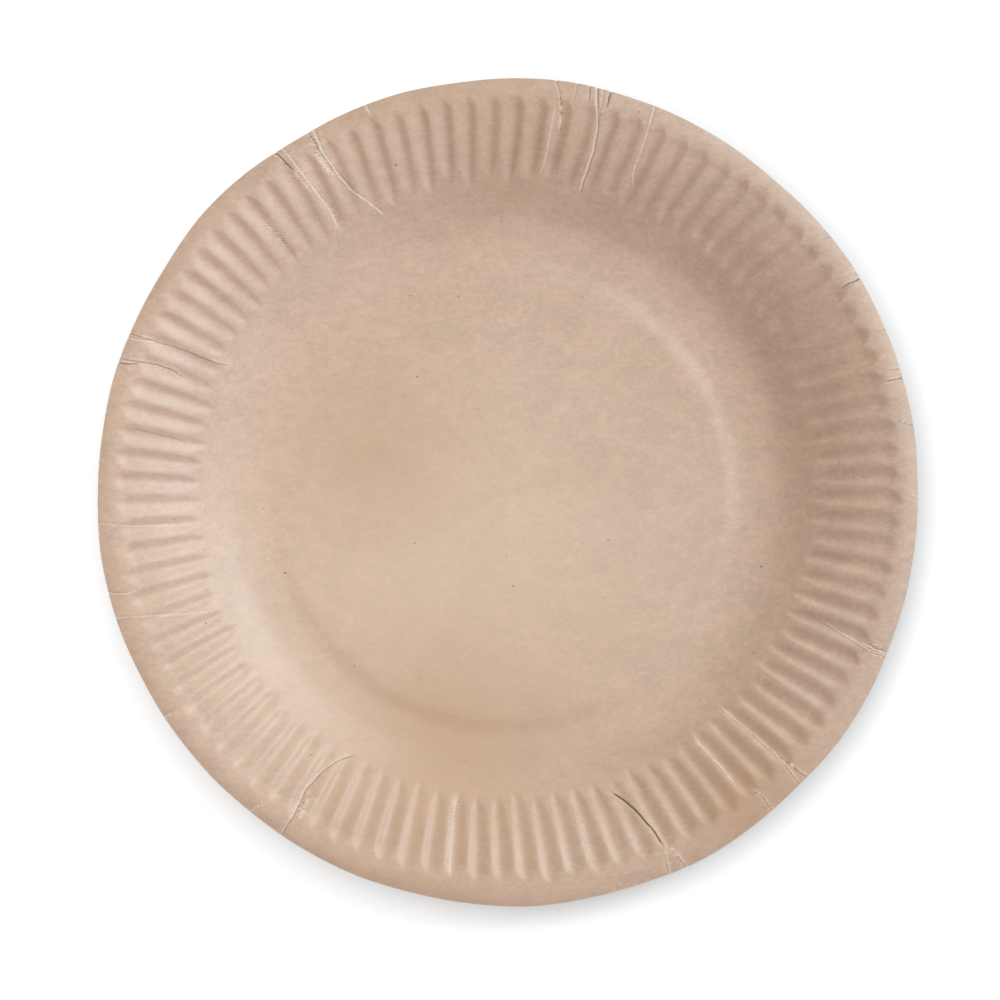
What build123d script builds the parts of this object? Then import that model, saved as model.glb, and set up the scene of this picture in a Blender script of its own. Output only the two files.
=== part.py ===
from build123d import *
import os
from math import cos, radians, sin, tan

# A shallow round plate pressed from one disc of paperboard: a slightly raised centre, a flat ring
# that it stands on, a rounded corner, a wall with radial flutes, and a smooth rim that rolls over.
# Millimetres, +Z up, with the origin on the table under the middle of the plate.

# Overall sizes
plate_diameter = 230.0
board = 0.45            # thickness of the paperboard, measured square to its surface

# Bottom, from the middle outwards
centre_rise = 0.45      # height of the raised centre above the foot ring
step_width = 5.5        # slope between the raised centre and the foot ring
foot_width = 6.0        # flat ring that touches the table
bend_width = 10.0       # rounded corner between the foot ring and the wall

# Wall and rim, from the corner outwards; every angle is a climb from the horizontal
wall_width = 2.0        # plain cone below the flutes
wall_angle = 32.0
run_in_width = 6.0      # length over which the flutes deepen from nothing
channel_width = 16.5    # main length of the flutes
channel_angle = 21.0
end_width = 1.8         # short end wall of each flute below the rim
land_width = 0.9        # plain cone outside the flutes
rim_width = 5.8         # rolled edge
rim_angle = 8.0         # climb where the rim starts
lip_angle = 16.0        # fall where the rim ends

# Flutes: round-bottomed channels between narrower crests
flute_count = 100
inner_depth = 0.3       # from crest to channel floor at the end of the run-in
outer_depth = 0.5       # the same at the outer end of the channels
crest_share = 0.3       # part of the pitch that a crest takes up


# Profile of the upper face, worked out from the edge of the plate inwards
channel_outer = plate_diameter / 2 - rim_width - land_width - end_width
channel_inner = channel_outer - channel_width
wall_outer = channel_inner - run_in_width
bend_outer = wall_outer - wall_width
foot_outer = bend_outer - bend_width
foot_inner = foot_outer - foot_width
centre_radius = foot_inner - step_width


def climb(start, width, angle):
    """The point that lies width further out along a straight climb."""
    return start + Vector(width, width * tan(radians(angle)))


bend_start = Vector(foot_outer, board)
bend_end = climb(bend_start, bend_width, wall_angle / 2)
wall_end = climb(bend_end, wall_width, wall_angle)
run_in_end = climb(wall_end, run_in_width, wall_angle)
channel_end = climb(run_in_end, channel_width, channel_angle)
flute_end = climb(channel_end, end_width, rim_angle)
land_end = climb(flute_end, land_width, rim_angle)
rim_corner = climb(land_end, rim_width / 2, rim_angle)
lip = climb(rim_corner, rim_width / 2, -lip_angle)


def below(place, angle, drop):
    """The point that lies drop below a surface of this climb, square to it."""
    return place + Vector(sin(radians(angle)), -cos(radians(angle))) * drop


def round_off(start, start_angle, end, end_angle):
    """A smooth curve that leaves start and reaches end along their own climbs."""
    start_slope = tan(radians(start_angle))
    end_slope = tan(radians(end_angle))
    reach = (end.Y - start.Y - (end.X - start.X) * end_slope) / (start_slope - end_slope)
    return Bezier(start, climb(start, reach, start_angle), end)


def bottom_profile(drop):
    """The centre, step, foot ring, rounded corner and plain wall, seen in section."""
    floor = board - drop
    centre = Line((0, floor + centre_rise), (centre_radius, floor + centre_rise))
    step = Line(centre @ 1, (foot_inner, floor))
    foot = Line(step @ 1, (foot_outer, floor))
    bend = round_off(foot @ 1, 0, below(bend_end, wall_angle, drop), wall_angle)
    wall = Line(bend @ 1, below(wall_end, wall_angle, drop))
    return [centre, step, foot, bend, wall]


def rim_profile(drop):
    """The plain land outside the flutes and the rolled rim, seen in section."""
    land = Line(below(flute_end, rim_angle, drop), below(land_end, rim_angle, drop))
    roll = round_off(land @ 1, rim_angle, below(lip, -lip_angle, drop), -lip_angle)
    return [land, roll]


def turned(profile):
    """The surface that a profile sweeps round the middle of the plate."""
    return Shell.revolve(Wire([Plane.XZ * edge for edge in profile]), 360, Axis.Z)


def wave_ring(place, angle, depth):
    """A closed ring round the plate that dips into every flute, square to the wall at this place."""
    def point(turn, drop):
        spot = below(place, angle, drop)
        return Vector(spot.X, 0, spot.Y).rotate(Axis.Z, turn * 360 / flute_count)

    def along(turn):
        return Vector(0, 1, 0).rotate(Axis.Z, turn * 360 / flute_count)

    def arc(start, end, end_drop, middle_drop):
        points = [point(start, end_drop), point((start + end) / 2, middle_drop), point(end, end_drop)]
        if depth:
            return Edge.make_three_point_arc(*points)
        return Edge.make_spline(points, tangents=[along(start), along(end)])

    arcs = []
    for flute in range(flute_count):
        crest_start = flute - crest_share / 2
        crest_end = flute + crest_share / 2
        shoulder = depth * crest_share
        arcs.append(arc(crest_start, crest_end, shoulder, 0))
        arcs.append(arc(crest_end, crest_start + 1, shoulder, depth))
    return Wire(arcs)


def fluted_wall(drop):
    """Straight strips from ring to ring, so the flutes rise out of the wall and end at the rim."""
    stations = [
        (wall_end, wall_angle, 0),
        (run_in_end, (wall_angle + channel_angle) / 2, inner_depth),
        (channel_end, (channel_angle + rim_angle) / 2, outer_depth),
        (flute_end, rim_angle, 0),
    ]
    rings = [wave_ring(below(place, angle, drop), angle, depth) for place, angle, depth in stations]
    return Shell.make_loft(rings, ruled=True)


# The upper and lower faces are the same surfaces one board apart, joined by the cut edge
upper_rim = rim_profile(0)
lower_rim = rim_profile(board)
cut_edge = Line(upper_rim[-1] @ 1, lower_rim[-1] @ 1)

surfaces = [
    fluted_wall(0),
    fluted_wall(board),
    turned(bottom_profile(0)),
    turned(bottom_profile(board)),
    turned(upper_rim + [cut_edge] + lower_rim[::-1]),
]
plate = Solid(Shell([face for surface in surfaces for face in surface.faces()]))
plate.label = "plate"

os.makedirs("parts", exist_ok=True)
export_step(plate, "parts/plate.step")

height = plate.bounding_box().size.Z
print(f"plate: {plate_diameter:.0f} mm across, {height:.1f} mm high, {plate.volume / 1000:.1f} cm3 of board")
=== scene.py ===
# %% [markdown]
# # A kraft paper plate
#
# A disposable plate is one disc of paperboard that a heated die has pressed into shape. The middle
# is raised by less than a millimetre, a narrow ring round it touches the table, and the wall climbs
# to a rim that rolls over. Pressing a flat disc into a dish leaves spare board in the wall, which the
# die gathers into flutes, and what the flutes can't take up folds into small creases.
#
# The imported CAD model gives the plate's place and size. It has even flutes and no creases, so it
# stays as the solid that things rest on, and this lesson builds the visible plate over it.

# %% Load the frame
import math
from collections import namedtuple

import bpy
import numpy as np
from mathutils import Matrix, Vector


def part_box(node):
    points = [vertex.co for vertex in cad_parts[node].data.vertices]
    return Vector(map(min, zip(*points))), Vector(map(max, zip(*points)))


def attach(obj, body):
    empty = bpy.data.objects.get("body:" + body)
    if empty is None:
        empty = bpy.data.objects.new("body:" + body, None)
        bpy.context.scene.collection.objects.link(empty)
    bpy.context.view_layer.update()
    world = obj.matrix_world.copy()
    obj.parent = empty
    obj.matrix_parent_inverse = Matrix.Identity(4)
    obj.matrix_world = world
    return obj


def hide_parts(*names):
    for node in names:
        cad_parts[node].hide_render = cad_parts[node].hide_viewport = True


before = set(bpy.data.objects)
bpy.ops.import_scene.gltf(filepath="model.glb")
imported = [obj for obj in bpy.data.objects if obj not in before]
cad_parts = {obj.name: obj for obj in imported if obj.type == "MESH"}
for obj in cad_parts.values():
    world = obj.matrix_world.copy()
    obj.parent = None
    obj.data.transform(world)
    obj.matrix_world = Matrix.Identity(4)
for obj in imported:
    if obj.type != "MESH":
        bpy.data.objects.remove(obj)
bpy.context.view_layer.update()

# %% Sizes taken from the frame
MM = 0.001
cad_low, cad_high = (np.array(corner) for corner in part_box("plate"))
RADIUS = (cad_high[0] - cad_low[0]) / 2
HEIGHT = cad_high[2]
BOARD = 0.45 * MM
print(f"the plate is {2 * RADIUS / MM:.0f} mm across and {HEIGHT / MM:.1f} mm high")

# %% [markdown]
# ## The section of the plate
#
# Every place on the plate is named by its azimuth, in degrees from +X, and its reach, which is 0 in
# the middle and 1 at the cut edge. A section could be drawn as heights, but a pressed board is
# easier to judge by how steeply it climbs: that is what light shows. So the section is a short list
# of climbs, joined smoothly, and the height is what they add up to on the way out.

# %% How steeply the board climbs at each reach
CLIMB = [
    (0.000, 0.00), (0.570, 0.00), (0.606, 0.13), (0.654, 0.36), (0.700, 0.83), (0.735, 1.00),
    (0.775, 0.96), (0.820, 0.86), (0.872, 0.63), (0.930, 0.40), (0.950, 0.18), (0.964, 0.00),
    (0.980, -0.30), (1.000, -0.55),
]
STEEPEST = math.radians(31.5)
SECTION_PLACES = 2001


def climb_at(reach):
    """The wall's climb in radians, without the step round the middle."""
    places, shares = zip(*CLIMB)
    return STEEPEST * np.interp(reach, places, shares)


fine_reach = np.linspace(0, 1, SECTION_PLACES)
rises = np.tan(climb_at(fine_reach)) * RADIUS
wall_height = np.concatenate([[0], np.cumsum((rises[1:] + rises[:-1]) / 2 * np.diff(fine_reach))])
wall_height *= (HEIGHT - BOARD) / wall_height.max()
print(f"rim top {(wall_height.max() + BOARD) / MM:.1f} mm, cut edge {(wall_height[-1] + BOARD) / MM:.1f} mm")

# %% [markdown]
# ## The step round the middle
#
# The die lifts the middle of the plate off the table, so that the plate stands on a ring and doesn't
# rock. The lifted disc isn't quite in the middle of the blank, and the step fades out on one side,
# where the board was thinner or the die wore. A bevel on a disc would be even all round. Here the
# step is a smooth rise measured from its own middle, times how much of it is left at each azimuth.
# On the faded side the disc slopes down gently instead, from a little outside its middle.

# %% Two ways to measure
def smoothstep(low, high, value):
    """Rises smoothly from 0 at low to 1 at high."""
    share = np.clip((value - low) / (high - low), 0, 1)
    return share * share * (3 - 2 * share)


def turn_from(start, azimuth):
    """Degrees anticlockwise from one azimuth to another, between -180 and 180."""
    return (azimuth - start + 180) % 360 - 180


print(f"a quarter of the way along, a smooth rise has risen {smoothstep(0, 1, 0.25):.2f}")
print(f"from azimuth 350 to azimuth 10 is {turn_from(350, 10)} degrees")

# %% Step
STEP_RISE = 0.70 * MM
STEP_MIDDLE = np.array([-1.2, -1.0]) * MM
STEP_REACH = 0.566
STEP_HALF_WIDTH = 0.026
STEP_FADED_AZIMUTH = 158
STEP_FADED_TO = 0.25
FADED_WITHIN = 20
WHOLE_BEYOND = 75
SLOPES_FROM = 0.15


def step_height(x, y):
    """How far the middle of the plate is lifted at each place."""
    reach = np.hypot(x - STEP_MIDDLE[0], y - STEP_MIDDLE[1]) / RADIUS
    turn = turn_from(STEP_FADED_AZIMUTH, np.degrees(np.arctan2(y, x)))
    inside = 1 - smoothstep(STEP_REACH - STEP_HALF_WIDTH, STEP_REACH + STEP_HALF_WIDTH, reach)
    faded = 1 - smoothstep(FADED_WITHIN, WHOLE_BEYOND, np.abs(turn))
    softer = 1 - smoothstep(SLOPES_FROM, STEP_REACH - STEP_HALF_WIDTH, reach)
    left = 1 - faded * (1 - STEP_FADED_TO)
    return STEP_RISE * inside * (left + (1 - left) * softer)


print(f"the step rises {STEP_RISE / MM:.2f} mm, {STEP_REACH * RADIUS / MM:.0f} mm from the middle")

# %% [markdown]
# ## Where the flutes run
#
# There are 100 flutes. A perfect die would aim them all at the middle and space them evenly, but
# this blank slid a little as the die closed, so they aim at a point some millimetres away, and they
# stand closer together on one side than on the other. One formula counts the flutes round the plate
# and gives whole numbers on the crests, and everything about flutes is built on it. The uneven
# spacing is waves round the plate: how many, how large in flutes, and a peak's azimuth times how many.

# %% Counting flutes
FLUTES = 100
FLUTE_AIM = np.array([-6.04, 1.21]) * MM
FLUTE_START = 0.731
FLUTE_SPACING = [(1, 0.721, 76.2), (2, 0.049, 66.4)]
MIDDLE_OF_WALL = 0.86
ROUNDS_TO_SETTLE = 8


def flute_turns(x, y):
    """How many flutes round from the start a place is, with whole numbers on the crests."""
    azimuth = np.degrees(np.arctan2(y, x))
    aimed = np.degrees(np.arctan2(y - FLUTE_AIM[1], x - FLUTE_AIM[0]))
    uneven = sum(size * np.cos(np.radians(count * azimuth - turn)) for count, size, turn in FLUTE_SPACING)
    return aimed * FLUTES / 360 + FLUTE_START + uneven


def along_flute(turns, reach):
    """The azimuths where lines of these turns cross one reach."""
    azimuth = (turns - FLUTE_START) * 360 / FLUTES
    for _ in range(ROUNDS_TO_SETTLE):
        x = reach * RADIUS * np.cos(np.radians(azimuth))
        y = reach * RADIUS * np.sin(np.radians(azimuth))
        miss = (turns - flute_turns(x, y) + FLUTES / 2) % FLUTES - FLUTES / 2
        azimuth = azimuth + miss * 360 / FLUTES
    return azimuth


print(f"{FLUTES} flutes, {2 * np.pi * MIDDLE_OF_WALL * RADIUS / FLUTES / MM:.1f} mm from crest to crest")

# %% [markdown]
# ## The shape of a flute
#
# The flutes are shallow channels with narrow crests between them. The crests are level with the
# plain wall, so a flute only ever takes height away. Each flute leans over: the side that falls
# away anticlockwise from a crest is the steeper one. Its section is again a short list of how
# steeply it falls and rises, and the depth is what that adds up to.
#
# Towards its ends a flute gets both shallower and narrower, as a groove does where a round tool
# leaves the work. One flute could be modelled and copied round, but then all would be the same. Here
# a formula gives the depth anywhere on the wall, and each flute has small differences.

# %% The section across a flute
FLUTE_FALL = [
    (0.00, 0.00), (0.05, 0.80), (0.11, 1.00), (0.22, 1.00), (0.28, 0.85), (0.35, 0.40), (0.42, 0.00),
    (0.50, -0.38), (0.60, -0.62), (0.72, -0.76), (0.82, -0.72), (0.92, -0.45), (1.00, 0.00),
]
ACROSS_PLACES = 401
fine_across = np.linspace(0, 1, ACROSS_PLACES)
fall = np.interp(fine_across, *zip(*FLUTE_FALL))
# What doesn't cancel is taken off in the middle of the flute, so that it ends as high as it began.
fall -= fall.mean() * np.sin(np.pi * fine_across) ** 2 * 2
flute_section = np.cumsum(fall)
flute_section = (flute_section - flute_section[0]) / np.ptp(flute_section)
print(f"deepest {100 * fine_across[flute_section.argmax()]:.0f}% of the way from crest to crest")

# %% What differs from flute to flute
DEPTH_SPREAD = 0.10
INNER_END_SPREAD = 0.006
OUTER_END_SPREAD = 0.0022
HANDOVER = 0.2

rng = np.random.default_rng(7)
flute_depths = 1 + DEPTH_SPREAD * rng.standard_normal(FLUTES)
flute_inner = INNER_END_SPREAD * rng.standard_normal(FLUTES)
flute_outer = OUTER_END_SPREAD * rng.standard_normal(FLUTES)


def smooth_pick(values, turns):
    """Each flute's own value, passing smoothly to its neighbour's at the crest between them."""
    flute = np.floor(turns).astype(int)
    share = 0.5 * smoothstep(1 - HANDOVER, 1, turns - flute)
    share_before = 0.5 * (1 - smoothstep(0, HANDOVER, turns - flute))
    here, after, before = (values[(flute + step) % FLUTES] for step in (0, 1, -1))
    return here + (after - here) * share + (before - here) * share_before


print(f"flutes are {flute_depths.min():.2f} to {flute_depths.max():.2f} of the usual depth")

# %% Flute depth
FLUTE_DEPTH = 0.92 * MM
FLUTE_RING_MIDDLE = np.array([-0.25, 0.95]) * MM
INNER_END = (0.744, 0.786)
OUTER_END = (0.922, 0.962)
DEEPENS = (0.77, 0.90)
INNER_DEPTH = 0.80
END_ROUNDING = 0.10
END_FADE = 0.15


def flute_drop(x, y):
    """How far the flutes lower the board at each place."""
    turns = flute_turns(x, y)
    channel = np.interp(turns - np.floor(turns), fine_across, flute_section)
    reach = np.hypot(x - FLUTE_RING_MIDDLE[0], y - FLUTE_RING_MIDDLE[1]) / RADIUS
    begun = smoothstep(*INNER_END, reach + smooth_pick(flute_inner, turns))
    ended = smoothstep(*OUTER_END, reach + smooth_pick(flute_outer, turns))
    along = begun * (INNER_DEPTH + (1 - INNER_DEPTH) * smoothstep(*DEEPENS, reach)) * (1 - ended)
    below_wall = channel - (1 - along)
    sunk = (below_wall + np.hypot(below_wall, END_ROUNDING)) / 2
    return FLUTE_DEPTH * smooth_pick(flute_depths, turns) * sunk * smoothstep(0, END_FADE, along)


flute_length = (np.mean(OUTER_END) - np.mean(INNER_END)) * RADIUS
print(f"flutes are about {flute_length / MM:.0f} mm long and {FLUTE_DEPTH / MM:.2f} mm deep")

# %% [markdown]
# ## Creases
#
# What the flutes can't take up folds into creases. A crease is two edges of board pushed past each
# other: one stands up and the other is pressed down. Where the board has cracked along the fold its
# pale fibres show, and where the fold is deep it holds shadow. Creases could be painted on, but
# their raised edges catch the light, so they are shaped in the mesh, and the same lines are kept as
# marks that the material reads.
#
# Each crease is given by where it runs, as reach and azimuth from its inner end to its outer end,
# and one that goes past 1 runs out over the cut edge. Its width, the height of its edges and the
# depth of the slit between them are in millimetres, and a minus turns the fold the other way. Pale,
# dark and fuzzy say how much cracked fibre, shadow and loose fluff there is along it.

# %% The long creases
Crease = namedtuple("Crease", "path width height slit pale dark fuzzy")

LONG_CREASES = [
    Crease([(0.765, 27.6), (0.80, 26.4), (0.86, 25.0)], 0.26, 0.02, 0, 0.3, 0, 0),
    Crease([(0.77, 41.4), (0.90, 41.0)], 0.26, 0.03, 0, 0.25, 0, 0),
    Crease([(0.80, 67.6), (0.83, 69.1), (0.90, 69.2), (1.01, 69.8)], 0.22, 0.06, 0, 0.8, 0.1, 0),
    Crease([(0.75, 76.9), (0.85, 76.4), (0.92, 76.8), (0.955, 77.6), (1.01, 78.3)],
           0.36, 0.12, 0.08, 1.0, 0.6, 0.3),
    Crease([(0.90, 77.1), (0.955, 77.1), (1.01, 77.4)], 0.20, 0.06, 0.04, 0.9, 0.3, 0.2),
    Crease([(0.955, 76.2), (1.01, 76.1)], 0.26, -0.10, 0.20, 0.2, 1.0, 0),
    Crease([(0.955, 79.0), (1.01, 79.3)], 0.20, 0.08, 0.12, 0.6, 0.8, 0),
    Crease([(0.88, 82.4), (0.92, 82.5), (0.965, 83.2), (1.01, 84.2)], 0.24, 0.08, 0.06, 0.8, 0.7, 0.1),
    Crease([(0.765, 85.3), (0.80, 84.2), (0.86, 83.9), (0.95, 83.6)], 0.26, 0.06, 0, 0.55, 0.1, 0.1),
    Crease([(0.735, 114.3), (0.78, 115.9), (0.82, 118.0), (0.88, 119.0), (0.93, 119.5), (1.01, 119.1)],
           0.27, 0.13, 0.04, 1.0, 0.2, 0.5),
    Crease([(0.87, 119.5), (0.91, 120.2), (0.95, 120.6)], 0.45, 0.05, 0, 1.0, 0.1, 1.0),
    Crease([(0.88, 119.2), (0.95, 119.9), (1.01, 119.8)], 0.20, -0.10, 0.08, 0.6, 0.55, 1.0),
    Crease([(0.765, 123.4), (0.80, 122.8), (0.86, 123.3), (0.93, 123.8), (1.01, 124.2)],
           0.27, 0.10, 0.04, 0.9, 0.2, 0.6),
    Crease([(0.87, 123.9), (0.92, 124.4), (0.95, 124.6)], 0.42, 0.04, 0, 0.95, 0.1, 1.0),
    Crease([(0.93, 124.6), (0.965, 124.9), (1.01, 125.4)], 0.22, -0.10, 0.15, 0.2, 1.0, 0.4),
    Crease([(0.80, 132.7), (0.90, 132.8)], 0.30, 0.03, 0, 0.2, 0.2, 0.9),
    Crease([(0.745, 155.9), (0.78, 156.8), (0.88, 157.1), (0.95, 157.8), (1.01, 158.0)],
           0.24, -0.08, 0.06, 0.6, 0.45, 0.3),
    Crease([(0.92, 157.2), (0.96, 158.3), (1.01, 158.6)], 0.22, 0.07, 0.03, 0.9, 0.2, 0.3),
    Crease([(0.83, 161.2), (0.88, 160.6), (0.92, 160.8), (0.97, 161.5), (1.01, 161.6)],
           0.24, -0.09, 0.08, 1.0, 0.5, 0.5),
    Crease([(0.94, 160.9), (0.97, 162.1), (1.01, 162.4)], 0.22, -0.10, 0.12, 0.7, 0.9, 0.2),
    Crease([(0.79, 171.6), (0.93, 171.0)], 0.26, 0, 0.02, 0, 0.3, 0.1),
    Crease([(0.78, 186.0), (0.93, 185.5), (1.01, 184.6)], 0.24, 0.05, 0, 0.5, 0.05, 0),
    Crease([(0.92, 194.4), (0.95, 195.1), (0.965, 195.1), (1.01, 194.1)], 0.22, 0.09, 0.04, 0.9, 0.35, 0.1),
    Crease([(0.77, 202.3), (0.83, 200.8), (0.88, 200.0), (0.94, 198.9), (1.01, 197.7)],
           0.22, 0.05, 0, 0.6, 0.1, 0),
    Crease([(0.945, 232.0), (0.97, 231.0), (1.01, 230.3)], 0.24, 0.08, 0.03, 0.9, 0.3, 0.1),
    Crease([(0.735, 240.0), (0.76, 238.2), (0.79, 236.6), (0.83, 235.8), (0.88, 235.3),
            (0.93, 235.9), (1.01, 236.0)],
           0.26, -0.10, 0.08, 0.8, 0.5, 0.3),
    Crease([(0.87, 235.6), (0.91, 236.3), (0.95, 236.9)], 0.34, 0.05, 0, 0.8, 0.2, 0.9),
    Crease([(0.735, 259.8), (0.80, 259.5), (0.95, 260.4)], 0.40, 0.06, 0, 0.3, 0.0, 0.3),
    Crease([(0.765, 288.2), (0.79, 289.6), (0.82, 291.0), (0.86, 291.9), (0.89, 292.6), (0.94, 293.1)],
           0.30, 0.16, 0.35, 0.5, 1.0, 0.2),
    Crease([(0.935, 293.0), (0.96, 292.6), (1.01, 292.1)], 0.24, 0.10, 0, 1.0, 0.1, 0.1),
    Crease([(0.925, 293.4), (0.96, 294.2), (1.01, 294.9)], 0.24, 0.10, 0, 1.0, 0.2, 0.3),
    Crease([(0.745, 306.6), (0.85, 307.2), (0.90, 307.0)], 0.28, 0.06, 0, 0.7, 0.0, 0.2),
    Crease([(0.91, 308.3), (0.955, 309.3), (1.01, 309.2)], 0.22, 0.07, 0, 0.7, 0.2, 0.4),
    Crease([(0.73, 314.3), (0.80, 314.6), (0.85, 314.9), (0.92, 315.0), (0.96, 314.7), (1.01, 314.4)],
           0.24, 0.10, 0.03, 1.0, 0.1, 0.1),
    Crease([(0.905, 315.2), (0.95, 315.5), (1.01, 316.0)], 0.24, 0.10, 0.05, 1.0, 0.5, 0.2),
    Crease([(0.82, 337.5), (0.87, 336.7), (0.92, 336.3), (0.965, 335.5)], 0.26, 0.09, 0.02, 0.9, 0.1, 0),
    Crease([(0.93, 336.9), (0.96, 336.6), (1.01, 336.9)], 0.26, -0.08, 0.12, 0.8, 0.8, 1.0),
    Crease([(0.95, 335.9), (1.01, 336.2)], 0.22, 0.08, 0.02, 0.9, 0.2, 0.5),
    Crease([(0.90, 351.5), (0.96, 351.3)], 0.30, 0.03, 0, 0.3, 0.1, 0),
]

# %% The short creases, which only nick the rim
SHORT_CREASES = [
    Crease([(0.955, 10.4), (1.01, 9.2)], 0.26, 0.07, 0.03, 0.7, 0.4, 0.3),
    Crease([(0.945, 16.6), (1.01, 16.2)], 0.26, 0.09, 0.06, 0.8, 0.6, 0.5),
    Crease([(0.965, 18.0), (1.01, 17.5)], 0.24, 0.07, 0.03, 0.8, 0.4, 0.3),
    Crease([(0.975, 23.9), (1.01, 23.5)], 0.24, 0.06, 0.03, 0.7, 0.3, 0),
    Crease([(0.945, 31.8), (1.01, 31.5)], 0.26, 0.10, 0.10, 0.8, 0.9, 0.6),
    Crease([(0.955, 33.0), (1.01, 32.6)], 0.24, 0.07, 0.02, 0.8, 0.2, 0.5),
    Crease([(0.965, 39.2), (1.01, 38.8)], 0.26, 0.05, 0, 0.4, 0.2, 0),
    Crease([(0.95, 81.2), (1.01, 81.0)], 0.24, 0.05, 0.02, 0.5, 0.4, 0),
    Crease([(0.965, 110.8), (1.01, 111.1)], 0.26, 0.07, 0, 0.7, 0.1, 0.3),
    Crease([(0.975, 163.0), (1.01, 163.1)], 0.22, 0.04, 0, 0.3, 0.3, 0),
    Crease([(0.975, 177.1), (1.01, 176.9)], 0.22, 0.04, 0, 0.5, 0.2, 0),
    Crease([(0.955, 213.3), (1.01, 212.9)], 0.24, 0.08, 0.02, 0.8, 0.2, 0),
    Crease([(0.975, 284.8), (1.01, 284.8)], 0.22, 0.06, 0, 0.7, 0.1, 0),
    Crease([(0.955, 359.8), (1.01, 358.9)], 0.24, 0.06, 0, 0.7, 0.2, 0),
]
CREASES = LONG_CREASES + SHORT_CREASES
print(f"{len(LONG_CREASES)} long creases and {len(SHORT_CREASES)} short ones")

# %% Following a crease
CORNER_STEPS = (-0.012, -0.006, 0, 0.006, 0.012)
WANDERS = [(0.05, 130), (0.03, 370)]
LONGEST_FADE = 0.02
wobbles = rng.uniform(0, 2 * np.pi, (len(CREASES), len(WANDERS)))


def crease_azimuth(path, reach):
    """Where a path runs at each reach, with its corners rounded."""
    reaches, azimuths = zip(*path)
    return sum(np.interp(reach + step, reaches, azimuths) for step in CORNER_STEPS) / len(CORNER_STEPS)


def beside_crease(crease, wobble, reach, azimuth):
    """How many mm anticlockwise of a crease each place is, and how much of the crease is left there."""
    wander = sum(size * np.sin(count * reach + start) for (size, count), start in zip(WANDERS, wobble))
    offset = turn_from(crease_azimuth(crease.path, reach), azimuth)
    aside = np.radians(offset) * reach * RADIUS / MM + wander
    inner, outer = crease.path[0][0], crease.path[-1][0]
    fade = min(LONGEST_FADE, (outer - inner) / 3)
    left = smoothstep(inner, inner + fade, reach) * (1 - smoothstep(outer - fade, outer, reach) * (outer < 1))
    return aside, left

# %% The shape and the marks of creases
PALE_TIGHTNESS = 1.2
DARK_TIGHTNESS = 1.5
DARK_ASIDE = 0.5
FLUFF_REACH = 1.5


def bell(value):
    """A hump that is 1 at 0 and fades out on both sides."""
    return np.exp(-value ** 2)


def crease_marks(reach, azimuth):
    """The height that creases add, and how pale, dark and fuzzy they make the board."""
    height, pale, dark, fuzzy = (np.zeros(np.shape(azimuth)) for _ in range(4))
    for crease, wobble in zip(CREASES, wobbles):
        aside, left = beside_crease(crease, wobble, reach, azimuth)
        across = aside / crease.width
        raised_side = -1 if crease.height < 0 else 1
        edges = crease.height * across * np.exp(0.5 - across * across / 2)
        height += MM * left * (edges - crease.slit * bell(across))
        pale = np.maximum(pale, left * crease.pale * bell(PALE_TIGHTNESS * across - raised_side))
        dark = np.maximum(dark, left * crease.dark * bell(DARK_TIGHTNESS * across + DARK_ASIDE * raised_side))
        fuzzy = np.maximum(fuzzy, left * crease.fuzzy * bell(aside / FLUFF_REACH))
    return height, pale, dark, fuzzy


deepest = max(CREASES, key=lambda crease: crease.slit)
deepest_at = crease_azimuth(deepest.path, MIDDLE_OF_WALL)
print(f"the deepest fold is {deepest.slit} mm deep, at azimuth {deepest_at:.0f}")

# %% [markdown]
# ## The cut edge
#
# The blank was cut before it was pressed, and the board draws in unevenly, so the edge is not a true
# circle. Waves of a few tenths of a millimetre, more than one length at once, make it look cut and
# pressed and not turned. Each is given by how many go round, how large it is in millimetres, and a
# peak's azimuth times how many. Where a crease runs out over the edge it leaves a nick.

# %% Outline
EDGE_WAVES = [
    (2, 0.21, 165), (3, 0.18, -150), (4, 0.10, 80), (6, 0.16, 125), (7, 0.12, -150), (11, 0.09, 45),
    (13, 0.11, -40), (14, 0.10, 160), (15, 0.08, -170), (30, 0.04, -105),
]
NICK = 0.25


def edge_shift(azimuth):
    """How far the cut edge stands outside the true circle."""
    shift = sum(MM * size * np.cos(np.radians(count * azimuth - turn)) for count, size, turn in EDGE_WAVES)
    for crease, wobble in zip(CREASES, wobbles):
        if crease.path[-1][0] > 1:
            aside, _ = beside_crease(crease, wobble, 1.0, azimuth)
            shift = shift - MM * NICK * crease.dark * bell(aside / crease.width)
    return shift


around_edge = edge_shift(np.arange(0, 360, 0.5))
print(f"the edge runs {around_edge.min() / MM:.2f} to {around_edge.max() / MM:.2f} mm outside a true circle")

# %% [markdown]
# ## Columns of vertices
#
# A dish has room for few vertices in the middle and needs many on the wall. The wall's columns run
# along the flutes, so that crests stay crisp, and close-set columns follow the creases. Where a
# crease wanders across the flutes, its neighbours lean with it, each a little less than the last.
# Distances beside a crease are in millimetres half way up the wall.

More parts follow.
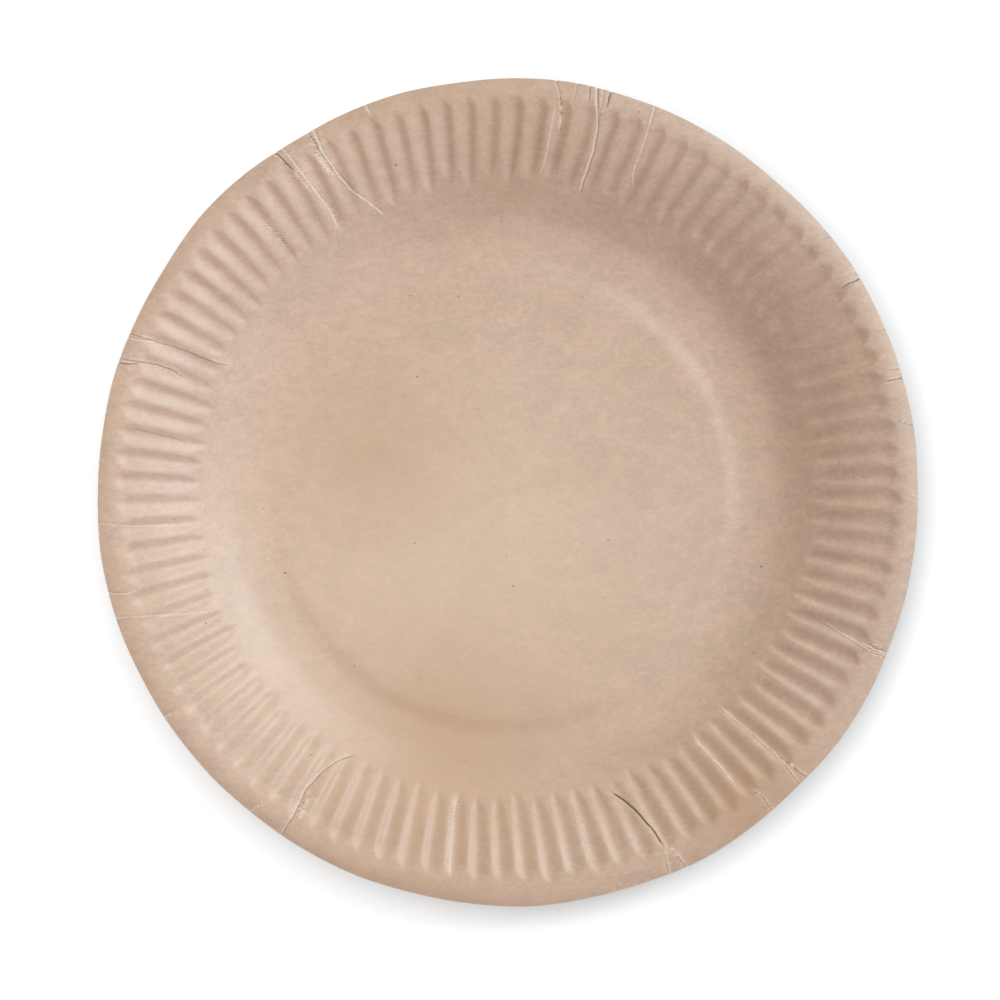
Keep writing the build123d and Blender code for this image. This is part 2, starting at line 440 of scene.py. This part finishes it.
# %% Where columns stand
COLUMNS_IN_FLUTE = np.array([0, 0.03, 0.07, 0.15, 0.25, 0.34, 0.43, 0.56, 0.70, 0.84, 0.93, 0.97])
COLUMNS_UNDER_FLUTE = np.array([0, 0.12, 0.32, 0.55, 0.78])
BESIDE_CREASE = np.array([-0.9, -0.5, -0.3, -0.15, 0, 0.15, 0.3, 0.5, 0.9])
BESIDE_UNDER = np.array([-0.9, -0.35, 0, 0.35, 0.9])
BESIDE_SHORT = np.array([-0.5, -0.25, -0.1, 0.05, 0.2, 0.5])
RIM_ONLY_FROM = 0.87
ON_RIM = 0.985
LEANS_WITHIN = 0.1
CLEAR_WITHIN = 0.15
EASED_OVER = 9.0
CLOSEST = 0.07
DEGREES_PER_MM = math.degrees(MM / (MIDDLE_OF_WALL * RADIUS))

along_wall = sorted((crease.path for crease in CREASES if crease.path[0][0] < RIM_ONLY_FROM),
                    key=lambda path: crease_azimuth(path, MIDDLE_OF_WALL))
only_on_rim = [crease.path for crease in CREASES if crease.path[0][0] >= RIM_ONLY_FROM]
crease_homes = np.array([crease_azimuth(path, MIDDLE_OF_WALL) for path in along_wall])
print(f"{len(along_wall)} creases have columns along the wall and {len(only_on_rim)} only on the rim")

# %% Columns that follow flutes and creases
def flute_lines(homes, reach):
    """Where lines along the flutes, named by their azimuth half way up the wall, cross another reach."""
    turn = np.radians(homes)
    x, y = MIDDLE_OF_WALL * RADIUS * np.cos(turn), MIDDLE_OF_WALL * RADIUS * np.sin(turn)
    return homes + turn_from(homes, along_flute(flute_turns(x, y), reach))


def column_azimuths(homes, reach):
    """Where columns, named in the same way, cross another reach, with those near creases leaning."""
    pushes = np.array([crease_azimuth(path, reach) for path in along_wall]) - flute_lines(crease_homes, reach)
    half = (BESIDE_CREASE[-1] + LEANS_WITHIN) * DEGREES_PER_MM
    places, sizes = [], []
    for i, (home, push) in enumerate(zip(crease_homes, pushes)):
        places += [home - half, home + half]
        sizes += [push, push]
        following = crease_homes[(i + 1) % len(crease_homes)] + 360 * (i + 1 == len(crease_homes))
        if following - home > 2 * (EASED_OVER + half):
            places += [home + half + EASED_OVER, following - half - EASED_OVER]
            sizes += [0, 0]
    return flute_lines(homes, reach) + np.interp(homes, places, sizes, period=360)


def column_homes(phases, beside):
    """Columns that follow the flutes, with close-set ones in place of those next to creases."""
    turns = (np.arange(FLUTES)[:, None] + phases).ravel()
    homes = along_flute(turns, MIDDLE_OF_WALL) % 360
    gaps = np.abs(turn_from(crease_homes, homes[:, None])).min(axis=1)
    homes = homes[gaps > (beside[-1] + CLEAR_WITHIN) * DEGREES_PER_MM]
    close_set = (crease_homes[:, None] + beside * DEGREES_PER_MM).ravel() % 360
    return np.sort(np.concatenate([homes, close_set]))


def with_short_creases(homes):
    """The same columns, with close-set ones at the creases that only nick the rim."""
    creases_on_rim = np.array([crease_azimuth(path, ON_RIM) for path in only_on_rim])
    wanted = (creases_on_rim[:, None] + BESIDE_SHORT * DEGREES_PER_MM).ravel()
    added = np.interp(wanted, column_azimuths(homes, ON_RIM), homes, period=360) % 360
    gaps = np.abs(turn_from(homes, added[:, None])).min(axis=1)
    return np.sort(np.concatenate([homes, added[gaps > CLOSEST]]))

# %% All columns
STEP_COLUMNS = 400
MIDDLE_COLUMNS = 150


def evenly(count):
    """Azimuths of evenly spaced columns."""
    return np.arange(count) * 360 / count


wall_homes = column_homes(COLUMNS_IN_FLUTE, BESIDE_CREASE)
rim_homes = with_short_creases(wall_homes)
under_homes = column_homes(COLUMNS_UNDER_FLUTE, BESIDE_UNDER)
step_homes = evenly(STEP_COLUMNS)
middle_homes = evenly(MIDDLE_COLUMNS)
for reach in (0.73, MIDDLE_OF_WALL, 1.0):
    gaps = np.diff(column_azimuths(rim_homes, reach))
    print(f"at reach {reach} columns stand {gaps.min():.3f} to {gaps.max():.3f} degrees apart")
print(f"{len(wall_homes)} columns on the wall, {len(rim_homes)} on the rim, {len(under_homes)} under it")

# %% [markdown]
# ## Rings
#
# The rings of vertices lie close together where the section turns fast, at the step and where the
# flutes begin and end. Each run below says where its rings start and end, how many there are, which
# columns they have, and whether those follow the flutes. Where the number of columns changes between
# two rings, triangles join them.

# %% Rings of the upper and the lower face
Run = namedtuple("Run", "start end rings homes follow")

TOP_RUNS = [
    Run(0.05, 0.49, 9, middle_homes, False),
    Run(0.51, 0.62, 16, step_homes, False),
    Run(0.632, 0.715, 8, step_homes, False),
    Run(0.725, 0.93, 24, wall_homes, True),
    Run(0.935, 0.965, 9, rim_homes, True),
    Run(0.970, 1.0, 6, rim_homes, True),
]
UNDER_RUNS = [
    Run(0.994, 0.966, 4, under_homes, True),
    Run(0.958, 0.935, 5, under_homes, True),
    Run(0.924, 0.73, 14, under_homes, True),
    Run(0.715, 0.62, 8, step_homes, False),
    Run(0.61, 0.52, 8, step_homes, False),
    Run(0.48, 0.06, 7, middle_homes, False),
]
print(f"{sum(run.rings for run in TOP_RUNS)} rings above and {sum(run.rings for run in UNDER_RUNS)} below")

# %% Placing and joining rings
EDGE_SHIFTS_FROM = 0.93


def place_on(reach, azimuth, drop):
    """Points on the upper face, or the given drop below it and square to it, and their marks."""
    turn = np.radians(azimuth)
    radius = reach * RADIUS + edge_shift(azimuth) * smoothstep(EDGE_SHIFTS_FROM, 1, reach)
    x, y = radius * np.cos(turn), radius * np.sin(turn)
    crease_height, *marks = crease_marks(reach, azimuth)
    unpressed = np.interp(reach, fine_reach, wall_height) + BOARD + step_height(x, y)
    z = unpressed - flute_drop(x, y) + crease_height
    climb = climb_at(reach)
    radius = radius + np.sin(climb) * drop
    points = np.stack([radius * np.cos(turn), radius * np.sin(turn), z - np.cos(climb) * drop], axis=-1)
    return points, marks


def stitch(inner_first, inner_azimuths, outer_first, outer_azimuths):
    """Faces between two rings, each given as its first vertex and the azimuths of its columns."""
    inner_count, outer_count = len(inner_azimuths), len(outer_azimuths)
    if inner_count == outer_count:
        around = np.arange(inner_count)
        beside = (around + 1) % inner_count
        corners = (inner_first + around, outer_first + around, outer_first + beside, inner_first + beside)
        return np.stack(corners, axis=-1).tolist()
    faces = []
    i = j = 0
    while i < inner_count or j < outer_count:
        inner_next = inner_azimuths[i + 1] if i + 1 < inner_count else inner_azimuths[0] + 360
        outer_next = outer_azimuths[j + 1] if j + 1 < outer_count else outer_azimuths[0] + 360
        corner_in, corner_out = inner_first + i % inner_count, outer_first + j % outer_count
        if j >= outer_count or (i < inner_count and inner_next <= outer_next):
            faces.append((corner_in, corner_out, inner_first + (i + 1) % inner_count))
            i += 1
        else:
            faces.append((corner_in, corner_out, outer_first + (j + 1) % outer_count))
            j += 1
    return faces


middle_top, _ = place_on(0.0, 0.0, 0.0)
print(f"the upper face is {middle_top[2] / MM:.2f} mm above the table in the middle of the plate")

# %% Build the plate
MARKS = ("pale", "dark", "fuzzy")
SHARP_ANGLE = math.radians(60)


def build_plate():
    """One closed mesh: the upper face from the middle out, the cut edge, and the lower face back in."""
    rings = []
    for run in TOP_RUNS:
        rings += [(reach, run, 0.0) for reach in np.linspace(run.start, run.end, run.rings)]
    rings += [(1.0, TOP_RUNS[-1], share * BOARD) for share in (0.5, 1.0)]
    for run in UNDER_RUNS:
        rings += [(reach, run, BOARD) for reach in np.linspace(run.start, run.end, run.rings)]

    top_middle, _ = place_on(0.0, 0.0, 0.0)
    points, faces, marks = [top_middle[None]], [], [np.zeros((1, len(MARKS)))]
    first, earlier = 1, None
    for reach, run, drop in rings:
        azimuths = column_azimuths(run.homes, reach) if run.follow else run.homes
        ring_points, ring_marks = place_on(reach, azimuths, drop)
        if earlier is None:
            around = np.arange(len(azimuths))
            faces += [(0, first + i, first + (i + 1) % len(azimuths)) for i in around]
        else:
            faces += stitch(*earlier, first, azimuths)
        points.append(ring_points)
        marks.append(np.stack(ring_marks, axis=-1))
        earlier = (first, azimuths)
        first += len(azimuths)

    under_middle, _ = place_on(0.0, 0.0, BOARD)
    points.append(under_middle[None])
    marks.append(np.zeros((1, len(MARKS))))
    last_first, last_azimuths = earlier
    count = len(last_azimuths)
    faces += [(last_first + i, first, last_first + (i + 1) % count) for i in range(count)]
    mesh = bpy.data.meshes.new("kraft_plate")
    mesh.from_pydata(np.concatenate(points).tolist(), [], faces)
    for name, values in zip(MARKS, np.concatenate(marks).T):
        layer = mesh.attributes.new(name, "FLOAT", "POINT")
        layer.data.foreach_set("value", values.astype(np.float32))
    return mesh


mesh = build_plate()
mesh.shade_smooth()
mesh.set_sharp_from_angle(angle=SHARP_ANGLE)
plate = bpy.data.objects.new("kraft_plate", mesh)
bpy.context.scene.collection.objects.link(plate)
triangles = sum(len(face.vertices) - 2 for face in mesh.polygons)
print(f"{len(mesh.vertices)} vertices, {triangles} triangles, valid: {not mesh.validate(verbose=True)}")

# %% [markdown]
# ## Kraft board
#
# Kraft board is unbleached pulp, so its colour is that of wood fibre: a light brown that is never
# quite even. The fibres lie mostly along the machine, here along X, and show as very faint streaks.
# Some stay darker than the rest and show as flecks. The board has only a low sheen from the hot die.
#
# A picture of paper could be wrapped over the plate, but it would stretch on the wall and repeat.
# Noise worked out in space has neither fault. Streaks are wanted at more than one size, so they are
# a node group with its own length and width, placed once for each size. The same goes for flecks and
# for soft patches.

# %% Node helpers
def add_node(tree, kind, settings=None, **inputs):
    """A node whose inputs, given by name or by _ and number, hold values or are fed by sockets."""
    node = tree.nodes.new(kind)
    for name, value in (settings or {}).items():
        setattr(node, name, value)
    for name, value in inputs.items():
        socket = node.inputs[int(name[1:])] if name[0] == "_" else node.inputs[name.replace("_", " ")]
        if isinstance(value, bpy.types.NodeSocket):
            tree.links.new(value, socket)
        else:
            socket.default_value = value
    return node


def math_node(tree, operation, first, second=0.0):
    """One sum, with the value that it gives."""
    return add_node(tree, "ShaderNodeMath", {"operation": operation}, _0=first, _1=second).outputs[0]


def vector_math(tree, operation, first, second):
    """The same for two vectors."""
    return add_node(tree, "ShaderNodeVectorMath", {"operation": operation}, _0=first, _1=second).outputs[0]


def scale_vector(tree, vector, factor):
    """A vector or a colour times one number."""
    return add_node(tree, "ShaderNodeVectorMath", {"operation": "SCALE"}, _0=vector, Scale=factor).outputs[0]


def remap(tree, value, low, high, to_low=0.0, to_high=1.0):
    """Moves a range of values to another one, and stops at its ends."""
    ends = {"From_Min": low, "From_Max": high, "To_Min": to_low, "To_Max": to_high}
    return add_node(tree, "ShaderNodeMapRange", Value=value, **ends).outputs[0]


def tint(tree, amount, under, over):
    """One colour over another, as much as the amount says."""
    node = add_node(tree, "ShaderNodeMix", {"data_type": "RGBA"}, _0=amount, _6=under, _7=over)
    return node.outputs[2]


def new_group(name, sizes, result):
    """A node group with a place, some sizes and one result, and what its inside reads and writes."""
    group = bpy.data.node_groups.new(name, "ShaderNodeTree")
    group.interface.new_socket("Place", in_out="INPUT", socket_type="NodeSocketVector")
    for size_name in sizes:
        group.interface.new_socket(size_name, in_out="INPUT", socket_type="NodeSocketFloat")
    group.interface.new_socket(result, in_out="OUTPUT", socket_type="NodeSocketFloat")
    return group, add_node(group, "NodeGroupInput").outputs, add_node(group, "NodeGroupOutput").inputs

# %% Streaks, as a node group
streaks, given, result = new_group("fibre_streaks", ("Length", "Width"), "Streak")
along = math_node(streaks, "DIVIDE", 1 / MM, given["Length"])
aside = math_node(streaks, "DIVIDE", 1 / MM, given["Width"])
per_streak = add_node(streaks, "ShaderNodeCombineXYZ", X=along, Y=aside, Z=aside).outputs[0]
scaled = vector_math(streaks, "MULTIPLY", given["Place"], per_streak)
noise = add_node(streaks, "ShaderNodeTexNoise", Vector=scaled, Scale=1.0, Detail=2.0, Roughness=0.6)
streaks.links.new(noise.outputs[0], result["Streak"])


def streak(tree, place, length, width):
    """Streaks of one size in millimetres, as a value near a half."""
    node = add_node(tree, "ShaderNodeGroup", {"node_tree": streaks}, Place=place, Length=length, Width=width)
    return node.outputs["Streak"]

# %% Flecks, as a node group
FLECK_CURVE = 4 * MM
FLECK_EDGE = (0.3, 0.6)
flecks, given, result = new_group("fibre_flecks", ("Length", "Width", "Spacing", "Share"), "Fleck")
bend = add_node(flecks, "ShaderNodeTexNoise", Vector=given["Place"], Scale=60.0, Detail=1.0)
moved = vector_math(flecks, "ADD", given["Place"], scale_vector(flecks, bend.outputs["Color"], FLECK_CURVE))
squeeze = math_node(flecks, "DIVIDE", given["Length"], given["Width"])
along = math_node(flecks, "DIVIDE", 1 / MM, given["Spacing"])
aside = math_node(flecks, "MULTIPLY", along, squeeze)
per_cell = add_node(flecks, "ShaderNodeCombineXYZ", X=along, Y=aside, Z=aside).outputs[0]
scaled = vector_math(flecks, "MULTIPLY", moved, per_cell)
cells = add_node(flecks, "ShaderNodeTexVoronoi", {"voronoi_dimensions": "2D"}, Vector=scaled, Scale=1.0)
chances = add_node(flecks, "ShaderNodeSeparateColor", Color=cells.outputs["Color"]).outputs
length_in_cell = math_node(flecks, "DIVIDE", given["Length"], given["Spacing"])
own_length = math_node(flecks, "MULTIPLY", length_in_cell, chances[1])
away = math_node(flecks, "DIVIDE", cells.outputs["Distance"], own_length)
kept = math_node(flecks, "LESS_THAN", chances[0], given["Share"])
mark = math_node(flecks, "MULTIPLY", remap(flecks, away, *FLECK_EDGE, 1.0, 0.0), kept)
flecks.links.new(mark, result["Fleck"])


def fleck(tree, place, length, width, spacing, share):
    """Marks 1 on the flecks and 0 between, from sizes in millimetres and the share of places used."""
    node = add_node(tree, "ShaderNodeGroup", {"node_tree": flecks}, Place=place, Length=length, Width=width,
                    Spacing=spacing, Share=share)
    return node.outputs["Fleck"]

# %% Soft patches, as a node group
patches, given, result = new_group("soft_patch", ("X", "Y", "Radius"), "Patch")
in_plane = vector_math(patches, "MULTIPLY", scale_vector(patches, given["Place"], 1 / MM), (1, 1, 0))
middle = add_node(patches, "ShaderNodeCombineXYZ", X=given["X"], Y=given["Y"]).outputs[0]
away = add_node(patches, "ShaderNodeVectorMath", {"operation": "DISTANCE"},
                _0=in_plane, _1=middle).outputs["Value"]
share = math_node(patches, "DIVIDE", away, given["Radius"])
squared = math_node(patches, "MULTIPLY", share, share)
fading = math_node(patches, "EXPONENT", math_node(patches, "MULTIPLY", squared, -1.0))
patches.links.new(fading, result["Patch"])


def soft_patch(tree, place, x, y, radius):
    """A round patch that is 1 in its middle and fades out smoothly, from places in millimetres."""
    node = add_node(tree, "ShaderNodeGroup", {"node_tree": patches}, Place=place, X=x, Y=y, Radius=radius)
    return node.outputs["Patch"]


print("node groups:", ", ".join(sorted(group.name for group in bpy.data.node_groups)))

# %% [markdown]
# ## Putting the board's finish together
#
# From the bottom up: the even kraft colour, streaks that lighten and darken it, a broad paler patch
# of painted light over the lower left of the middle, four brownish patches that darken the board, one
# of them partly painted shade below the step, flecks, then the marks of the creases. Cracked fibre
# is paler than the board and a deep fold is painted darker, as its shadow. Loose fluff is fine
# streaks, pale ones with a little shadow between them. The finer streaks also feed a bump of about a
# hundredth of a millimetre, because fibres are relief as well as colour.

# %% Kraft colour and its streaks
KRAFT_WARM = (0.650, 0.466, 0.345, 1)
KRAFT_COOL = (0.637, 0.462, 0.353, 1)
STREAKS = [(0.8, 0.45, 0.29), (2.0, 1.2, 0.32), (5.0, 3.1, 0.28), (15, 10, 0.19), (36, 24, 0.17)]
WARM_TO_COOL = (0.35, 0.65)

kraft = bpy.data.materials.new("kraft_board")
kraft.use_nodes = True
tree = kraft.node_tree
board = tree.nodes["Principled BSDF"]
place = add_node(tree, "ShaderNodeTexCoord").outputs["Object"]
streak_values = [streak(tree, place, length, width) for length, width, _ in STREAKS]
fine, middling, broad = streak_values[0], streak_values[1], streak_values[-1]

colour = tint(tree, remap(tree, broad, *WARM_TO_COOL), KRAFT_WARM, KRAFT_COOL)
lightness = 1.0
for streak_value, (_, _, strength) in zip(streak_values, STREAKS):
    added = math_node(tree, "MULTIPLY", math_node(tree, "SUBTRACT", streak_value, 0.5), strength)
    lightness = math_node(tree, "ADD", added, lightness)
colour = scale_vector(tree, colour, lightness)
print(f"{len(STREAKS)} sizes of streaks, {STREAKS[0][0]} to {STREAKS[-1][0]} mm long")

# %% Patches and flecks
PAINTED_LIGHT_PALE = (0.88, 0.705, 0.538, 1)
STAIN_AND_SHADE_BROWN = (0.56, 0.34, 0.21, 1)
PALE_FIBRE = (0.95, 0.77, 0.62, 1)
FLECK_BROWN = (0.18, 0.10, 0.06, 1)
# The broad pale patch is painted light over the lower left of the middle. The brown patch below the step at
# the lower left is partly stain and partly painted shade; the other three darken and brown the board where
# they lie.
PATCHES = [
    (-18, -28, 60, PAINTED_LIGHT_PALE, 0.43),
    (-37, 12, 23, STAIN_AND_SHADE_BROWN, 0.42),
    (-18, -78, 40, STAIN_AND_SHADE_BROWN, 0.58),
    (66, -88, 22, STAIN_AND_SHADE_BROWN, 0.60),
    (-8, 110, 32, STAIN_AND_SHADE_BROWN, 0.25),
]
FLECKS = [
    (1.0, 0.55, 34, 0.35, FLECK_BROWN, 0.7),
    (0.6, 0.5, 14, 0.25, FLECK_BROWN, 0.7),
    (1.0, 0.5, 11, 0.25, PALE_FIBRE, 0.35),
]

for x, y, radius, patch_colour, amount in PATCHES:
    patch = math_node(tree, "MULTIPLY", soft_patch(tree, place, x, y, radius), amount)
    colour = tint(tree, patch, colour, patch_colour)

for *fleck_sizes, fleck_colour, amount in FLECKS:
    marked = math_node(tree, "MULTIPLY", fleck(tree, place, *fleck_sizes), amount)
    colour = tint(tree, marked, colour, fleck_colour)
print(f"{len(PATCHES)} patches and {len(FLECKS)} kinds of flecks")

# %% Marks of the creases
FOLD_SHADOW = (0.085, 0.038, 0.018, 1)
HAIR_SIZE = (1.7, 0.26)
GRAIN_SIZE = (0.9, 0.5)
PALE_HAIR = (0.49, 0.57)
DARK_HAIR = (0.48, 0.38)
PALE_HAIR_SHOWS = 0.75
DARK_HAIR_SHOWS = 0.30
CRACK_BREAKS_UP = (0.38, 0.56, 0.25, 1.0)
FOLD_BREAKS_UP = (0.34, 0.50, 0.55, 1.0)

pale, dark, fuzzy = (add_node(tree, "ShaderNodeAttribute", {"attribute_name": name}).outputs["Fac"]
                     for name in MARKS)
hair = streak(tree, place, *HAIR_SIZE)
grain = streak(tree, place, *GRAIN_SIZE)
pale_hair = math_node(tree, "MULTIPLY", remap(tree, hair, *PALE_HAIR), fuzzy)
dark_hair = math_node(tree, "MULTIPLY", remap(tree, hair, *DARK_HAIR), fuzzy)
cracked = math_node(tree, "MULTIPLY", pale, remap(tree, grain, *CRACK_BREAKS_UP))
folded = math_node(tree, "MULTIPLY", dark, remap(tree, grain, *FOLD_BREAKS_UP))
colour = tint(tree, math_node(tree, "MULTIPLY", dark_hair, DARK_HAIR_SHOWS), colour, FOLD_SHADOW)
colour = tint(tree, math_node(tree, "MULTIPLY", pale_hair, PALE_HAIR_SHOWS), colour, PALE_FIBRE)
colour = tint(tree, cracked, colour, PALE_FIBRE)
colour = tint(tree, folded, colour, FOLD_SHADOW)
tree.links.new(colour, board.inputs["Base Color"])
print("marks read from the mesh:", ", ".join(MARKS))

# %% Relief and sheen
BUMP_HEIGHT = 0.012 * MM
MIDDLING_RELIEF = 1.2
HAIR_RELIEF = 2.0
ROUGHNESS = (0.46, 0.56)
BOARD_SHEEN = 0.5
SHEEN_GONE_AT = 0.35

relief = math_node(tree, "ADD", fine, math_node(tree, "MULTIPLY", middling, MIDDLING_RELIEF))
relief = math_node(tree, "ADD", relief, math_node(tree, "MULTIPLY", pale_hair, HAIR_RELIEF))
bump = add_node(tree, "ShaderNodeBump", Strength=1.0, Distance=BUMP_HEIGHT, Height=relief)
sheen = remap(tree, dark, 0.0, SHEEN_GONE_AT, BOARD_SHEEN, 0.0)
tree.links.new(bump.outputs["Normal"], board.inputs["Normal"])
tree.links.new(remap(tree, middling, 0.3, 0.7, *ROUGHNESS), board.inputs["Roughness"])
tree.links.new(sheen, board.inputs["Specular IOR Level"])
mesh.materials.append(kraft)
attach(plate, "root")
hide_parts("plate")
print(f"the board's material has {len(tree.nodes)} nodes")

# %% [markdown]
# ## Floor
#
# The plate lies on a plain white table. White paint alone would need more light than the board can
# take, so the floor shines by itself, but only for the camera: it lights nothing. The light that
# falls on it still adds to that.
#
# Close under the rim little light gets in, and the floor dims there into a soft contact shadow. It
# is a few millimetres wide and lies towards the front and the right, as if most of the room's light
# came from behind on the left. Most of this shadow is painted: the floor's shine is held back by how
# much of the sky just there is covered, and the sky is looked for towards that side. Deep under the
# wall some shine is left.

# %% White floor
FLOOR_HALF = 3.0
FLOOR_PAINT = 0.2
FLOOR_SHINE = 0.99
SKY_SIDE = 150.0
SKY_LEAN = 60.0
COVERED_SKY = 0.6
DEEP_SHINE = 0.2
SHADOW_WIDTH = 22 * MM
SKY_SAMPLES = 16
DULL = 0.9


def direction(azimuth, elevation):
    """The unit vector that points to an azimuth and an elevation."""
    turn, rise = math.radians(azimuth), math.radians(elevation)
    return Vector((math.cos(turn) * math.cos(rise), math.sin(turn) * math.cos(rise), math.sin(rise)))


corners = [(-1, -1), (1, -1), (1, 1), (-1, 1)]
floor_mesh = bpy.data.meshes.new("floor")
floor_mesh.from_pydata([(x * FLOOR_HALF, y * FLOOR_HALF, 0) for x, y in corners], [], [(0, 1, 2, 3)])
floor = bpy.data.objects.new("floor", floor_mesh)
bpy.context.scene.collection.objects.link(floor)
white = bpy.data.materials.new("white_floor")
white.use_nodes = True
paint = white.node_tree.nodes["Principled BSDF"]
paint.inputs["Base Color"].default_value = (FLOOR_PAINT, FLOOR_PAINT, FLOOR_PAINT, 1)
paint.inputs["Roughness"].default_value = DULL
paint.inputs["Specular IOR Level"].default_value = 0.0
seen = add_node(white.node_tree, "ShaderNodeLightPath").outputs["Is Camera Ray"]
sky_way = dict(zip("XYZ", direction(SKY_SIDE, 90 - SKY_LEAN)))
sky_way = add_node(white.node_tree, "ShaderNodeCombineXYZ", **sky_way).outputs[0]
open_sky = add_node(white.node_tree, "ShaderNodeAmbientOcclusion", {"samples": SKY_SAMPLES},
                    Distance=SHADOW_WIDTH, Normal=sky_way)
# Painted shadow: the shine dims where the sky just above the floor is covered.
shine = remap(white.node_tree, open_sky.outputs["AO"], COVERED_SKY, 1.0, DEEP_SHINE, FLOOR_SHINE)
shine = math_node(white.node_tree, "MULTIPLY", shine, seen)
paint.inputs["Emission Color"].default_value = (1, 1, 1, 1)
white.node_tree.links.new(shine, paint.inputs["Emission Strength"])
floor_mesh.materials.append(white)
print(f"floor {2 * FLOOR_HALF:.0f} m square")

# %% [markdown]
# ## Camera
#
# The plate is looked at almost straight down, from a little to the left and below. The camera is
# placed by where it stands round the plate and how far it leans from the vertical, and the lens
# follows from how much of the plate one step of the picture covers.

# %% Camera
VIEW_AZIMUTH = 205.0
VIEW_LEAN = 5.7
VIEW_DISTANCE = 0.9
PICTURE_STEPS = 1000
STEP_COVERS = 0.2780 * MM
SENSOR_WIDTH = 36
NEAREST_SEEN = 0.01
AIM = Vector((-3.74 * MM, -2.76 * MM, HEIGHT))

camera_data = bpy.data.cameras.new("camera")
camera_data.sensor_width = SENSOR_WIDTH
camera_data.lens = SENSOR_WIDTH * VIEW_DISTANCE / (PICTURE_STEPS * STEP_COVERS)
camera_data.clip_start = NEAREST_SEEN
camera = bpy.data.objects.new("camera", camera_data)
bpy.context.scene.collection.objects.link(camera)
bpy.context.scene.camera = camera
backwards = direction(VIEW_AZIMUTH, 90 - VIEW_LEAN)
right = Vector((0, 1, 0)).cross(backwards).normalized()
up = backwards.cross(right)
camera.location = AIM + backwards * VIEW_DISTANCE
camera.rotation_euler = Matrix((right, up, backwards)).transposed().to_euler()
print(f"lens {camera_data.lens:.0f} mm, {VIEW_LEAN} degrees off the vertical")

# %% [markdown]
# ## Light
#
# Pressed board shows its shape only when the light comes from low at one side. The key is a wide
# soft lamp low on the right, like a window, and as cool as daylight. Weaker and warmer lamps above
# and round the other sides keep the shadows open, and the one close by on the left makes that side
# of the plate a little lighter. Together they light a flat white sheet white.

# %% Lamps
Lamp = namedtuple("Lamp", "name azimuth elevation distance size watts colour")
LAMPS = [
    Lamp("key", 30, 40, 5.0, 1.6, 205, (0.79, 0.90, 1)),
    Lamp("above", 0, 88, 2.0, 0.7, 8.0, (1, 0.79, 0.55)),
    Lamp("left", 180, 35, 0.5, 0.25, 0.52, (1, 0.95, 0.92)),
    Lamp("behind", 90, 20, 5.0, 1.6, 44.5, (1, 1, 0.86)),
    Lamp("front_left", 240, 20, 5.0, 1.6, 38.5, (1, 0.88, 1)),
    Lamp("front_right", 330, 20, 5.0, 1.6, 48, (0.89, 0.91, 1)),
]


def add_lamp(lamp):
    """A soft round lamp that faces the middle of the plate."""
    light = bpy.data.lights.new(lamp.name, "AREA")
    light.shape = "DISK"
    light.size = lamp.size
    light.energy = lamp.watts
    light.color = lamp.colour
    holder = bpy.data.objects.new(lamp.name, light)
    holder.location = direction(lamp.azimuth, lamp.elevation) * lamp.distance
    holder.rotation_euler = holder.location.to_track_quat("Z", "Y").to_euler()
    bpy.context.scene.collection.objects.link(holder)


for lamp in LAMPS:
    add_lamp(lamp)
print(f"{len(LAMPS)} lamps")

# %% White all round, for the camera only
world = bpy.data.worlds.new("world")
world.use_nodes = True
sky = world.node_tree.nodes["Background"]
sky.inputs["Color"].default_value = (1, 1, 1, 1)
seen = add_node(world.node_tree, "ShaderNodeLightPath").outputs["Is Camera Ray"]
world.node_tree.links.new(seen, sky.inputs["Strength"])
bpy.context.scene.world = world
bpy.context.scene.view_settings.view_transform = "Standard"
print("view transform:", bpy.context.scene.view_settings.view_transform)
